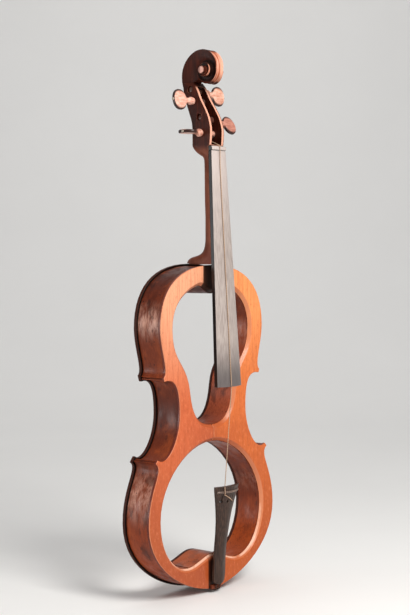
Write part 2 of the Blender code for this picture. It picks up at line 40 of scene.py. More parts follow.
def at(x, y, z):
    """A construction point in millimetres as a point of the frame in metres."""
    return Vector(((x - HANG[0]) * MM, (y - HANG[1]) * MM, (z - HANG[2]) * MM))


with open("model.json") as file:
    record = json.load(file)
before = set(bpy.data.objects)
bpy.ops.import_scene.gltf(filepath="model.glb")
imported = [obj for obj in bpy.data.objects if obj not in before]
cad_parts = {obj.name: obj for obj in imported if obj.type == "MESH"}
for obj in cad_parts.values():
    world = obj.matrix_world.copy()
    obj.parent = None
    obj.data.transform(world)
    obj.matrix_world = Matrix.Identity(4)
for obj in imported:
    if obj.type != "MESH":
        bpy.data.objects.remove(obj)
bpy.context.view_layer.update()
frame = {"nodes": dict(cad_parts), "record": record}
nodes = frame["nodes"]
scene = bpy.context.scene


# ---- camera ---------------------------------------------------------------------------------------
def make_camera():
    data = bpy.data.cameras.new("camera")
    data.sensor_fit, data.sensor_width = "AUTO", 36.0
    data.lens = 1358.475 * 36.0 / 615.0
    data.clip_start, data.clip_end = 0.05, 50.0
    cam = bpy.data.objects.new("camera", data)
    scene.collection.objects.link(cam)
    a, e, r = math.radians(-49.369), math.radians(1.902), math.radians(0.264)
    back = Vector((math.sin(a) * math.cos(e), -math.cos(a) * math.cos(e), math.sin(e)))
    right = (-back).cross(Vector((0, 0, 1))).normalized()
    up = right.cross(-back).normalized()
    right2 = math.cos(r) * right - math.sin(r) * up
    up2 = math.sin(r) * right + math.cos(r) * up
    place = Vector((0.003172, -0.009, -0.240027)) + back * 1.50009
    m = Matrix((right2, up2, back)).transposed().to_4x4()
    m.translation = place
    cam.matrix_world = m
    scene.camera = cam


make_camera()
scene.view_settings.view_transform = "Standard"
scene.view_settings.look = "None"


# ---- materials ------------------------------------------------------------------------------------
def srgb(r, g, b):
    """A colour in 0 to 255 display values as a linear colour."""
    def lin(c):
        c /= 255.0
        return c / 12.92 if c <= 0.04045 else ((c + 0.055) / 1.055) ** 2.4
    return (lin(r), lin(g), lin(b), 1.0)


class Nodes:
    """A short way to write a node material."""

    def __init__(self, name, rough, coat=0.0, coat_rough=0.2, ior=1.5, specular=0.5):
        self.mat = bpy.data.materials.new(name)
        self.mat.use_nodes = True
        self.tree = self.mat.node_tree
        self.bsdf = self.tree.nodes["Principled BSDF"]
        self.bsdf.inputs["Roughness"].default_value = rough
        self.bsdf.inputs["IOR"].default_value = ior
        self.bsdf.inputs["Coat Weight"].default_value = coat
        self.bsdf.inputs["Coat Roughness"].default_value = coat_rough
        self.bsdf.inputs["Specular IOR Level"].default_value = specular
        self.place = self.new("ShaderNodeTexCoord").outputs["Object"]

    def new(self, kind, **inputs):
        n = self.tree.nodes.new(kind)
        for k, v in inputs.items():
            self.put(n.inputs[k.replace("_", " ")], v)
        return n

    def put(self, socket, value):
        if isinstance(value, bpy.types.NodeSocket):
            self.tree.links.new(value, socket)
        else:
            socket.default_value = value

    def mapped(self, scale, move=(0, 0, 0), turn=(0, 0, 0)):
        return self.new("ShaderNodeMapping", Vector=self.place, Scale=scale, Location=move, Rotation=turn).outputs[0]

    def noise(self, scale, stretch=(1, 1, 1), detail=4.0, rough=0.55, move=(0, 0, 0), warp=0.0):
        n = self.new("ShaderNodeTexNoise", Vector=self.mapped(stretch, move), Scale=scale, Detail=detail, Roughness=rough, Distortion=warp)
        return n.outputs["Fac"]

    def band(self, value, low, high, to_low=0.0, to_high=1.0, smooth=True):
        n = self.new("ShaderNodeMapRange", Value=value)
        n.interpolation_type = "SMOOTHSTEP" if smooth else "LINEAR"
        for k, v in (("From Min", low), ("From Max", high), ("To Min", to_low), ("To Max", to_high)):
            n.inputs[k].default_value = v
        return n.outputs["Result"]

    def math(self, op, a, b=None):
        n = self.new("ShaderNodeMath")
        n.operation = op
        self.put(n.inputs[0], a)
        if b is not None:
            self.put(n.inputs[1], b)
        return n.outputs[0]

    def mul(self, a, b):
        return self.math("MULTIPLY", a, b)

    def mix(self, factor, a, b, blend="MIX"):
        n = self.tree.nodes.new("ShaderNodeMix")
        n.data_type = "RGBA"
        n.blend_type = blend
        self.put(n.inputs[0], factor)
        self.put(n.inputs[6], a)
        self.put(n.inputs[7], b)
        return n.outputs[2]

    def axis(self, which):
        n = self.new("ShaderNodeSeparateXYZ", Vector=self.place)
        return n.outputs[which]

    def normal(self, which):
        g = self.new("ShaderNodeNewGeometry").outputs["Normal"]
        return self.new("ShaderNodeSeparateXYZ", Vector=g).outputs[which]

    def edges(self, radius, low=0.02, high=0.16):
        """Mask of outside and inside edges, for worn varnish, dirt and painted edge highlights."""
        b = self.new("ShaderNodeBevel")
        b.samples = 4
        b.inputs["Radius"].default_value = radius
        g = self.new("ShaderNodeNewGeometry")
        n = self.new("ShaderNodeVectorMath")
        n.operation = "DOT_PRODUCT"
        self.tree.links.new(b.outputs[0], n.inputs[0])
        self.tree.links.new(g.outputs["Normal"], n.inputs[1])
        return self.band(self.math("SUBTRACT", 1.0, n.outputs["Value"]), low, high)

    def done(self, color, height=None, depth=0.0002, strength=0.4, rough=None):
        self.put(self.bsdf.inputs["Base Color"], color)
        if rough is not None:
            self.put(self.bsdf.inputs["Roughness"], rough)
        if height is not None:
            b = self.new("ShaderNodeBump", Height=height)
            b.inputs["Distance"].default_value = depth
            b.inputs["Strength"].default_value = strength
            self.tree.links.new(b.outputs[0], self.bsdf.inputs["Normal"])
        return self.mat


def front_varnish():
    """Orange varnish on straight-grained softwood, pale at the top with painted sheen and browner low down, with
    painted light and shade on the chamfers, pale edges that are partly wear and partly painted highlights, and painted
    shadows under the fingerboard and the tailpiece.
    """
    m = Nodes("front_varnish", 0.4, coat=0.14, coat_rough=0.16, specular=0.25)
    height, across = m.axis(2), m.axis(0)
    grain = m.noise(1000.0, (1.0, 0.3, 0.03), detail=3.0)
    wide = m.noise(200.0, (1.0, 0.4, 0.05), detail=2.0, move=(3, 1, 0))
    cloud = m.noise(16.0, (1, 1, 0.7), detail=4.0, move=(1.3, 0, 2.1))
    fleck = m.noise(330.0, (1.0, 1.0, 0.5), detail=5.0, rough=0.75, move=(7, 0, 3))
    half = m.band(across, -0.008, 0.008)
    low = m.mix(half, srgb(178, 84, 40), srgb(184, 84, 26))
    middle = m.mix(half, srgb(206, 102, 60), srgb(214, 110, 52))
    top = m.mix(half, srgb(238, 166, 128), srgb(244, 152, 92))
    # Colour by height: browner low down and pale at the top, the pale top being painted sheen.
    color = m.mix(m.band(height, -0.5, -0.35), low, middle)
    color = m.mix(m.band(height, -0.35, -0.23), color, top)
    color = m.mix(m.mul(m.band(grain, 0.46, 0.62), 0.3), color, srgb(164, 66, 30))
    color = m.mix(m.mul(m.band(wide, 0.56, 0.7), m.mul(m.band(height, -0.4, -0.3), 0.22)), color, srgb(184, 84, 46))
    color = m.mix(m.mul(m.band(cloud, 0.52, 0.72), 0.4), color, srgb(164, 70, 34))
    color = m.mix(m.mul(m.band(fleck, 0.52, 0.68), 0.32), color, srgb(236, 150, 104))
    color = m.mix(m.mul(m.band(fleck, 0.47, 0.33), 0.34), color, srgb(150, 60, 28))
    aside = m.math("ABSOLUTE", across)
    tilt = m.normal(1)
    chamfer = m.mul(m.band(tilt, -0.95, -0.86), m.band(tilt, -0.4, -0.5))
    # The chamfers are painted darker high up and lighter low down, as painted shade and painted light.
    color = m.mix(m.mul(chamfer, 0.6), color, m.mix(m.band(height, -0.42, -0.46), srgb(176, 86, 46), srgb(206, 116, 74)))
    # A painted highlight, pale and broken, on the lower chamfers.
    chamfer_highlight = m.mul(m.band(height, -0.458, -0.478), m.band(m.noise(42.0, detail=3.0, move=(2, 9, 4)), 0.36, 0.52))
    chamfer_highlight = m.mul(chamfer_highlight, m.band(m.axis(1), -0.0227, -0.0219))
    color = m.mix(m.mul(m.mul(chamfer, chamfer_highlight), 0.8), color, srgb(244, 192, 164))
    # The plate's side faces are painted deep red, as painted shade along its edges.
    color = m.mix(m.mul(m.band(tilt, -0.3, -0.1), 0.9), color, srgb(92, 24, 14))
    # A painted highlight along the rounded left edge of the plate.
    rounded = m.mul(m.band(m.normal(0), -0.2, -0.55), m.band(tilt, -0.15, -0.4))
    color = m.mix(m.mul(rounded, 0.28), color, srgb(244, 172, 132))
    # Pale edges, partly rubbed wear and partly painted highlight.
    rim = m.edges(0.0009)
    color = m.mix(m.mul(m.mul(rim, m.band(m.noise(60.0, detail=4.0), 0.42, 0.62)), 0.5), color, srgb(244, 188, 152))
    # A near-white painted highlight on the edges low on the left.
    inner = m.mul(m.mul(m.band(across, -0.094, -0.09), m.band(across, -0.04, -0.05)), m.mul(m.band(height, -0.455, -0.468), m.band(height, -0.518, -0.5)))
    color = m.mix(m.mul(m.mul(rim, inner), 0.9), color, srgb(252, 220, 196))
    # Painted shadow on the front under the fingerboard and under the lower end of the tailpiece.
    painted_shadow = m.math("MAXIMUM", m.mul(m.band(aside, 0.0178, 0.016), m.band(height, -0.244, -0.232)), m.mul(m.band(aside, 0.0115, 0.0095), m.band(height, -0.511, -0.519)))
    color = m.mix(m.mul(painted_shadow, 0.95), color, srgb(30, 11, 6))
    rough = m.band(m.noise(40.0), 0.3, 0.7, 0.34, 0.48)
    return m.done(color, fleck, 0.00012, 0.2, rough)


def varnished(name, steps, spots, sheen=()):
    """Brown varnish whose colour changes with the height, with upright grain, small knocks, patches of duller varnish
    and pale streaked patches of painted sheen.
    """
    m = Nodes(name, 0.4, specular=0.2)
    height = m.axis(2)
    grain = m.noise(700.0, (1.0, 1.0, 0.05), detail=4.0)
    flame = m.noise(34.0, (1, 1, 0.7), detail=5.0, rough=0.65, move=(2, 1, 3))
    color = steps[0][1]
    for (above, _), (below, shade) in zip(steps, steps[1:]):
        color = m.mix(m.band(height, above, below), color, shade)
    color = m.mix(m.mul(m.band(grain, 0.38, 0.6), 0.3), color, srgb(66, 22, 10))
    color = m.mix(m.mul(m.band(flame, 0.5, 0.68), 0.4), color, srgb(176, 82, 36))
    color = m.mix(m.mul(m.band(flame, 0.46, 0.32), 0.5), color, srgb(58, 20, 10))
    streak = m.noise(240.0, (1.0, 1.0, 0.22), detail=5.0, rough=0.7, move=(1, 6, 2))
    # Pale streaked patches in the height bands given are painted sheen.
    for low, high, share in sheen:
        mid = (low + high) / 2
        patch = m.mul(m.band(height, low, mid), m.band(height, high, mid))
        color = m.mix(m.mul(m.mul(patch, m.band(streak, 0.34, 0.7)), share), color, srgb(214, 160, 138))
    small = m.band(m.noise(330.0, (1, 1, 0.4), detail=2.0, move=(5, 2, 1)), 0.66, 0.74)
    large = m.band(m.noise(70.0, (1, 1, 0.6), detail=5.0, move=(2, 0, 4)), 0.58, 0.66)
    marks = m.math("MAXIMUM", m.mul(small, 0.8), m.mul(large, spots))
    color = m.mix(marks, color, srgb(30, 12, 8))
    dull = m.band(m.noise(120.0, (1, 1, 0.4), detail=4.0, move=(0, 5, 0)), 0.35, 0.65, 0.3, 0.52)
    return m.done(color, grain, 0.00018, 0.35, dull)


def back_varnish():
    """Brown back, reddish on the rim of its overhanging edge and painted nearly black on the ledge as painted shade,
    with a thin worn line high on the left.
    """
    m = Nodes("back_varnish", 0.5, specular=0.12)
    grain = m.noise(500.0, (1.0, 0.3, 0.03), detail=4.0)
    color = m.mix(m.band(grain, 0.35, 0.65), srgb(98, 44, 28), srgb(134, 66, 42))
    facing = m.normal(1)
    color = m.mix(m.mul(m.band(facing, 0.8, 0.6), 0.95), color, srgb(58, 25, 16))
    # The ledge that faces the front is painted nearly black, as painted shade.
    color = m.mix(m.band(facing, -0.55, -0.85), color, srgb(14, 6, 4))
    high = m.mul(m.band(m.axis(2), -0.33, -0.28), m.band(m.axis(0), -0.02, -0.035))
    worn = m.mul(m.edges(0.0007), m.math("MAXIMUM", m.mul(high, 0.9), m.mul(m.band(m.noise(45.0, detail=3.0), 0.56, 0.66), 0.5)))
    color = m.mix(worn, color, srgb(196, 140, 116))
    return m.done(color, grain, 0.00012, 0.25)


def neck_varnish():
    """Dark red-brown neck, pegbox and scroll; the front edges of the cheeks and the front band of the scroll are worn
    pale, the hollow between the scroll's turns carries a painted shadow and its eyes a painted highlight.
    """
    m = Nodes("neck_varnish", 0.42, specular=0.15)
    grain = m.noise(600.0, (1.0, 1.0, 0.05), detail=4.0)
    color = m.mix(m.band(grain, 0.35, 0.65), srgb(46, 17, 10), srgb(72, 28, 16))
    cloud = m.noise(50.0, detail=4.0, move=(0, 3, 1))
    height, depth = m.axis(2), m.axis(1)
    lower = m.band(height, -0.062, -0.07)
    color = m.mix(m.mul(lower, 0.75), color, m.mix(m.band(cloud, 0.4, 0.65), srgb(120, 58, 36), srgb(150, 84, 58)))
    color = m.mix(m.mul(m.band(cloud, 0.54, 0.7), 0.3), color, srgb(122, 54, 32))
    forward = m.band(m.normal(1), -0.35, -0.6)
    aside = m.math("ABSOLUTE", m.axis(0))
    front = m.math("MAXIMUM", -0.0274, m.math("ADD", m.mul(height, 0.555), -0.00775))
    near = m.band(m.math("SUBTRACT", depth, front), 0.0028, 0.0018)
    half = m.math("MINIMUM", 0.0121, m.math("SUBTRACT", 0.00962, m.mul(height, 0.05)))
    strip = m.band(m.math("SUBTRACT", aside, half), -0.0003, -0.0011)
    cheek = m.mul(m.mul(near, strip), m.mul(m.band(height, -0.064, -0.062), m.band(height, 0.0035, -0.0005)))
    color = m.mix(m.mul(m.mul(forward, cheek), 0.9), color, srgb(232, 168, 142))
    dy, dz = m.math("ADD", depth, 0.0215), m.math("SUBTRACT", height, 0.018)
    away = m.math("SQRT", m.math("ADD", m.mul(dy, dy), m.mul(dz, dz)))
    # Painted shadow in the hollow between the scroll's turns.
    scroll_shadow = m.mul(m.mul(m.band(aside, 0.0108, 0.0098), m.band(away, 0.0126, 0.0116)), m.band(height, 0.003, 0.006))
    color = m.mix(m.mul(scroll_shadow, 0.85), color, srgb(18, 8, 5))
    turn = m.mul(m.mul(m.band(away, 0.0060, 0.0068), m.band(away, 0.0102, 0.0092)), m.band(aside, 0.0100, 0.0108))
    color = m.mix(m.mul(m.mul(turn, forward), 0.8), color, srgb(214, 146, 118))
    scroll = m.mul(m.mul(m.band(aside, 0.0074, 0.0066), m.band(away, 0.0104, 0.0112)), m.mul(m.band(height, 0.0, 0.004), m.band(depth, -0.0165, -0.021)))
    streak = m.noise(240.0, (1.4, 0.12, 0.12), detail=3.0)
    worn = m.mix(m.band(streak, 0.4, 0.6), srgb(168, 88, 56), srgb(224, 164, 138))
    worn = m.mix(m.mul(m.band(height, 0.017, 0.007), 0.6), worn, srgb(138, 66, 36))
    color = m.mix(m.mul(m.mul(forward, scroll), 0.92), color, worn)
    # A painted highlight on each eye of the scroll, brightest towards the front.
    color = m.mix(m.mul(m.mul(m.band(away, 0.0042, 0.003), m.band(aside, 0.0158, 0.0166)), m.band(dy, 0.002, -0.0005, 0.35, 1.0)), color, srgb(242, 186, 170))
    rub = m.mul(m.edges(0.0007), m.band(m.noise(70.0, detail=4.0), 0.48, 0.62))
    color = m.mix(m.mul(rub, 0.5), color, srgb(214, 150, 118))
    return m.done(color, grain, 0.0001, 0.25)


def ebony(name, dark, light, rough, polish, played_and_sheen=0.0, line=0.4):
    """Black close-grained wood; on a playing surface the front is painted grey, partly rubbed wear and partly painted
    sheen, lighter at the top and darker towards its lower end.
    """
    m = Nodes(name, rough, coat=polish, coat_rough=0.3, specular=0.3)
    grain = m.noise(1100.0, (1.0, 1.0, 0.03), detail=3.0)
    rub = m.noise(26.0, (1, 1, 0.3), detail=4.0)
    color = m.mix(m.band(grain, 0.4, 0.66), dark, light)
    # The front of the board is painted grey: partly rubbed wear, partly painted sheen.
    if played_and_sheen:
        height = m.axis(2)
        grey = m.mix(m.band(grain, 0.35, 0.65), srgb(160, 147, 140), srgb(188, 175, 168))
        grey = m.mix(m.mul(m.band(height, -0.16, -0.08), 0.6), grey, srgb(206, 192, 186))
        grey = m.mix(m.mul(m.band(rub, 0.5, 0.7), 0.4), grey, srgb(134, 123, 117))
        grey = m.mix(m.mul(m.band(height, -0.27, -0.32), 0.85), grey, srgb(84, 78, 78))
        color = m.mix(m.mul(m.band(m.normal(1), -0.55, -0.8), played_and_sheen), color, grey)
    worn = m.mul(m.edges(0.0006), m.band(rub, 0.4, 0.6))
    color = m.mix(m.mul(worn, line), color, srgb(168, 150, 136))
    return m.done(color, grain, 0.00008, 0.25, m.band(rub, 0.3, 0.7, rough - 0.05, rough + 0.1))


def pale_wood(name, streak, low, high, pit, inner=0.0, stub_from=1.0, stub_to=1.0, rim_shade_to=1.0):
    """Light hardwood with fine streaks; a shaft carries painted shade as far as it runs inside the pegbox, but for a
    pale stub, and the rim of a head is painted dark as shade.
    """
    m = Nodes(name, 0.38, coat=0.22, coat_rough=0.2, specular=0.35)
    grain = m.noise(520.0, streak, detail=4.0)
    color = m.mix(m.band(grain, 0.35, 0.65), low, high)
    dirt = m.band(m.noise(110.0, detail=4.0, move=(4, 4, 0)), 0.52, 0.68)
    color = m.mix(m.mul(dirt, 0.4), color, pit)
    if inner:
        across = m.axis(0)
        aside = m.math("ABSOLUTE", across)
        # Painted shade on the shaft inside the pegbox, except for a pale stub.
        stub = m.mul(m.band(across, stub_from - 0.0002, stub_from + 0.0002), m.band(across, stub_to + 0.0002, stub_to - 0.0002))
        shade = m.math("SUBTRACT", m.band(aside, inner + 0.0004, inner - 0.0004), stub)
        color = m.mix(m.mul(shade, 0.9), color, srgb(62, 29, 19))
        # Painted shade on the rim of the head, cut off along x at the limit given.
        rim = m.new("ShaderNodeAttribute")
        rim.attribute_name = "rim"
        color = m.mix(m.mul(m.mul(rim.outputs["Fac"], m.band(across, rim_shade_to, rim_shade_to - 0.004)), 1.0), color, srgb(48, 22, 16))
    return m.done(color, grain, 0.0001, 0.25)


def gut(name, dark, light):
    """Twisted gut."""
    m = Nodes(name, 0.45, coat=0.1, coat_rough=0.3, specular=0.3)
    twist = m.new("ShaderNodeTexWave", Vector=m.mapped((1, 1, 1), turn=(0.6, 0.5, 0)), Scale=420.0, Distortion=1.5)
    color = m.mix(twist.outputs["Fac"], dark, light)
    return m.done(color, twist.outputs["Fac"], 0.0001, 0.4)


FRONT, BACK, NECK = front_varnish(), back_varnish(), neck_varnish()
RIBS = varnished("rib_varnish", ((-0.205, srgb(74, 30, 17)), (-0.235, srgb(112, 47, 24)), (-0.3, srgb(132, 56, 26)), (-0.36, srgb(96, 40, 22)), (-0.42, srgb(128, 54, 26)), (-0.5, srgb(150, 62, 25))),
                 0.5, ((-0.278, -0.228, 1.0), (-0.475, -0.40, 0.75)))
WALLS = varnished("inner_wall", ((-0.22, srgb(88, 34, 17)), (-0.26, srgb(128, 54, 28)), (-0.34, srgb(178, 86, 54)), (-0.38, srgb(150, 66, 36)), (-0.43, srgb(112, 42, 16)), (-0.5, srgb(152, 64, 22))), 0.5, ((-0.29, -0.25, 0.4), (-0.46, -0.42, 0.25)))
BLOCK = varnished("block_varnish", ((-0.23, srgb(84, 30, 16)), (-0.5, srgb(152, 70, 34)), (-0.52, srgb(172, 84, 44))), 0.25)
BOARD = ebony("ebony", srgb(16, 15, 15), srgb(34, 32, 31), 0.4, 0.2, played_and_sheen=0.9)
TAIL = ebony("ebony_tailpiece", srgb(44, 29, 22), srgb(72, 50, 39), 0.42, 0.1, line=0.55)
FRET = ebony("ebony_fret", srgb(92, 74, 64), srgb(126, 104, 92), 0.4, 0.2, line=0.8)
BONE = pale_wood("bone", (0.3, 1, 1), srgb(150, 138, 124), srgb(182, 170, 156), srgb(118, 102, 86))
GUT = gut("gut", srgb(148, 116, 92), srgb(204, 172, 144))
DARK_GUT = gut("dark_gut", srgb(46, 26, 16), srgb(78, 46, 30))


# ---- refined pieces --------------------------------------------------------------------------------
BODY_OF = {n: b for b, members in frame["record"]["behaviour"]["bodies"].items() for n in members}


def refine(node, mat, width=0.0, segments=3, angle=30.0, sharp=35.0):
    """A finer piece in place of a CAD node: its own clean mesh with rounded edges and smooth shading."""
    source = nodes[node]
    bm = bmesh.new()
    bm.from_mesh(source.data)
    bmesh.ops.remove_doubles(bm, verts=bm.verts, dist=2e-6)
    bmesh.ops.dissolve_limit(bm, angle_limit=math.radians(0.6), verts=bm.verts, edges=bm.edges, delimit=set())
    if width:
        chosen = [e for e in bm.edges if len(e.link_faces) == 2 and e.calc_face_angle(0.0) > math.radians(angle)]
        bmesh.ops.bevel(bm, geom=chosen, offset=width * MM, offset_type="OFFSET", segments=segments, profile=0.5, affect="EDGES", clamp_overlap=True)
    bmesh.ops.recalc_face_normals(bm, faces=bm.faces)
    for f in bm.faces:
        f.smooth = True
    for e in bm.edges:
        e.smooth = len(e.link_faces) == 2 and e.calc_face_angle(0.0) < math.radians(sharp)
    mesh = bpy.data.meshes.new(node + "_fine")
    bm.to_mesh(mesh)
    bm.free()
    mesh.materials.append(mat)
    obj = bpy.data.objects.new(node + "_fine", mesh)
    scene.collection.objects.link(obj)
    weighted = obj.modifiers.new("weighted", "WEIGHTED_NORMAL")
    weighted.keep_sharp = True
    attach(obj, BODY_OF[node])
    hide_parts(node)
    return obj


def tube_mesh(name, path, radius, mat, sides=12):
    """A round cord as a mesh along points of the frame."""
    bm = bmesh.new()
    rows, side = [], Vector((1, 0, 0))
    for i, p in enumerate(path):
        along = (path[min(i + 1, len(path) - 1)] - path[max(i - 1, 0)]).normalized()
        side = (side - along * side.dot(along)).normalized()
        other = along.cross(side)
        rows.append([bm.verts.new(p + radius * (math.cos(t) * side + math.sin(t) * other)) for t in (2 * math.pi * k / sides for k in range(sides))])
    for a, b in zip(rows, rows[1:]):
        for k in range(sides):
            bm.faces.new((a[k], a[(k + 1) % sides], b[(k + 1) % sides], b[k]))
    bm.faces.new(rows[0][::-1])
    bm.faces.new(rows[-1])
    bmesh.ops.recalc_face_normals(bm, faces=bm.faces)
    for f in bm.faces:
        f.smooth = len(f.verts) == 4
    mesh = bpy.data.meshes.new(name)
    bm.to_mesh(mesh)
    bm.free()
    mesh.materials.append(mat)
    obj = bpy.data.objects.new(name, mesh)
    scene.collection.objects.link(obj)
    return obj


for n in nodes:
    if n.startswith("front_plate"):
        refine(n, FRONT, 1.0, 3, 40)
    elif n == "back_plate":
        refine(n, BACK, 1.1, 3, 40)
    elif "_rib_" in n:
        refine(n, RIBS)
    elif "inner_wall" in n:
        refine(n, WALLS)
    elif "block" in n:
        refine(n, BLOCK)
    elif n in ("saddle", "end_button"):
        refine(n, NECK, 0.4, 3, 40)
    elif n == "fingerboard":
        refine(n, BOARD, 0.5, 3, 50)
    elif n == "nut":
        refine(n, BOARD, 0.25, 2, 50)
    elif n == "tailpiece":
        refine(n, TAIL, 0.5, 3, 50)
    elif n == "tailpiece_fret":
        refine(n, FRET, 0.15, 2, 50)
    elif n.endswith("_pin"):
        refine(n, BONE, 0.2, 2, 50)
    elif n in ("string_board", "string_knot", "string_winding"):
        refine(n, GUT, 0.0, sharp=70)

# ---- carved neck, pegbox and scroll ---------------------------------------------------------------
def curve(table, v):
    """Reads a design table along a smooth line that doesn't overshoot its rows."""
    rows = sorted(table)
    if v <= rows[0][0]:
        return rows[0][1]
    if v >= rows[-1][0]:
        return rows[-1][1]
    step = [(b[1] - a[1]) / (b[0] - a[0]) for a, b in zip(rows, rows[1:])]
    slope = [step[0]] + [0.0 if a * b <= 0 else 2 * a * b / (a + b) for a, b in zip(step, step[1:])] + [step[-1]]
    for i, (a, b) in enumerate(zip(rows, rows[1:])):
        if v <= b[0]:
            h = b[0] - a[0]
            t = (v - a[0]) / h
            return (a[1] * (1 + 2 * t) * (1 - t) ** 2 + h * slope[i] * t * (1 - t) ** 2
                    + b[1] * t * t * (3 - 2 * t) + h * slope[i + 1] * t * t * (t - 1))


def new_object(name, bm, mat, smooth=35.0):
    bmesh.ops.remove_doubles(bm, verts=bm.verts, dist=2e-6)
    bmesh.ops.recalc_face_normals(bm, faces=bm.faces)
    for f in bm.faces:
        f.smooth = True
    for e in bm.edges:
        e.smooth = len(e.link_faces) == 2 and e.calc_face_angle(0.0) < math.radians(smooth)
    mesh = bpy.data.meshes.new(name)
    bm.to_mesh(mesh)
    bm.free()
    mesh.materials.append(mat)
    obj = bpy.data.objects.new(name, mesh)
    scene.collection.objects.link(obj)
    return obj


def skin(bm, rows, caps=True):
    """Faces between rings of equal point count, closed round each ring."""
    n = len(rows[0])
    for a, b in zip(rows, rows[1:]):
        for i in range(n):
            bm.faces.new((a[i], a[(i + 1) % n], b[(i + 1) % n], b[i]))
    if caps:
        bm.faces.new(rows[0][::-1])
        bm.faces.new(rows[-1])


def apply_all(obj):
    """Turns an object's modifiers into its mesh."""
    bpy.context.view_layer.update()
    done = bpy.data.meshes.new_from_object(obj.evaluated_get(bpy.context.evaluated_depsgraph_get()))
    obj.modifiers.clear()
    old, obj.data = obj.data, done
    bpy.data.meshes.remove(old)


def join(obj, other, operation):
    m = obj.modifiers.new(operation.lower(), "BOOLEAN")
    m.operation, m.object, m.solver = operation, other, "EXACT"
    apply_all(obj)
    bpy.data.objects.remove(other, do_unlink=True)


BOARD_TOP, BOARD_END = 480.0, 224.0


def board_edge(z):
    return -8.1 - (BOARD_TOP - z) * 0.0557


def board_half(z):
    return 12.0 + 8.3 * (BOARD_TOP - z) / (BOARD_TOP - BOARD_END)


HEEL = ((356.6, 33.4), (357.75, 33.4), (357.9, 36.3), (358.5, 36.0), (360.5, 34.8), (362.5, 32.6), (364.2, 28.5), (365.4, 23.5), (366.8, 17.5), (368.8, 13.0), (372, 9.6), (377, 7.4), (384, 6.3), (408, 6.3), (426, 7.3), (444, 7.6), (457, 7.8), (466, 8.1), (470, 8.5), (472.5, 9.6), (474, 10.9))
PEGBOX_BACK = ((474, 10.9), (476.3, 14.9), (478.5, 17.8), (481, 20.0), (484, 21.3), (488, 21.8), (500, 21.8), (509, 22.4), (524, 27.6), (538, 33.2), (550, 36.6), (556, 37.6))
PEGBOX_FRONT = ((474, -3.9), (480, -3.7), (485.2, -3.4), (485.7, -4.6), (493, -5.6), (501, -6.0), (513.6, -3.4), (524.3, 1.9), (537.5, 10.1), (546, 14.2), (552, 17.9), (556, 21.0))
PEGBOX_HALF = ((474, 11.9), (486, 12.1), (500, 12.0), (524, 11.0), (545, 9.8), (556, 7.9))
SLOT = ((486.5, 8.2), (500, 8.2), (524, 7.2), (540, 6.3), (550, 5.5))
EYE_Y, EYE_Z = 2.5, 567.0
TURNS = ((-30, 37.6), (0, 35.6), (45, 29.5), (90, 22.6), (135, 16.7), (180, 13.2), (225, 13.4), (270, 14.0), (315, 13.2), (360, 11.0), (450, 8.8), (540, 7.8), (630, 6.8), (720, 5.6), (810, 4.6), (900, 4.0))
WIDTH = ((-30, 7.6), (0, 7.5), (90, 6.4), (180, 5.8), (270, 7.0), (360, 8.8), (450, 10.4), (540, 11.8), (630, 13.2), (720, 14.6), (810, 16.0), (900, 17.0))
PEGS = {
    "peg_g": (-1, 7.2, 499.5, 0.0, 0.0, 12.1, 90.0, 23.0, 17.9),
    "peg_e": (1, 9.0, 515.7, -0.07, -0.14, 11.5, 28.0, 27.0, 17.4),
    "peg_d": (-1, 20.0, 535.1, 0.0, 0.0, 10.4, 7.0, 22.0, 19.2),
    "peg_a": (1, 23.9, 547.5, -0.057, -0.105, 9.7, 8.0, 25.5, 18.0),
}
HEAD = ((0.0, 3.0), (0.055, 5.6), (0.13, 8.0), (0.25, 9.9), (0.41, 11.0), (0.6, 11.1), (0.77, 10.0), (0.9, 7.8), (0.97, 5.0), (1.0, 2.6))


def neck_stem():
    """The neck from its heel to the top of the pegbox."""
    heights = [z for z in [356.6, 357.75, 357.9, 358.5, 359.5, 360.5, 361.5, 362.5, 363.4, 364.2, 364.8, 365.4, 366.1, 366.8, 367.8, 368.8, 370.4, 372, 374.5, 377, 380.5, 384]]
    heights += [384 + 8 * i for i in range(1, 10)] + [460, 464, 466, 468, 469.5, 471, 472.5, 474, 475, 476, 477, 478, 479, 480, 481, 482.5, 484, 485.2, 485.7, 486.8, 488] + [488 + 4 * i for i in range(1, 18)]
    bm, rows, count = bmesh.new(), [], 44
    for z in heights:
        k = min(max((z - 474) / 12.0, 0.0), 1.0)
        if z <= 474:
            w, front, back = board_half(z) - 0.3, board_edge(z) + 4.7, curve(HEEL, z)
        else:
            w, front, back = curve(PEGBOX_HALF, z), curve(PEGBOX_FRONT, z), curve(PEGBOX_BACK, z)
        ring = []
        for i in range(count):
            a = math.pi * i / (count - 1)
            c, s = math.cos(a), math.sin(a)
            u = (w * c, front + (back - front) * s ** 0.9)
            b = (w * math.copysign(abs(c) ** 0.28, c), front + (back - front) * s ** 0.28)
            ring.append(bm.verts.new(at(u[0] + (b[0] - u[0]) * k, u[1] + (b[1] - u[1]) * k, z)))
        rows.append(ring)
    skin(bm, rows)
    return new_object("neck_carved", bm, NECK)


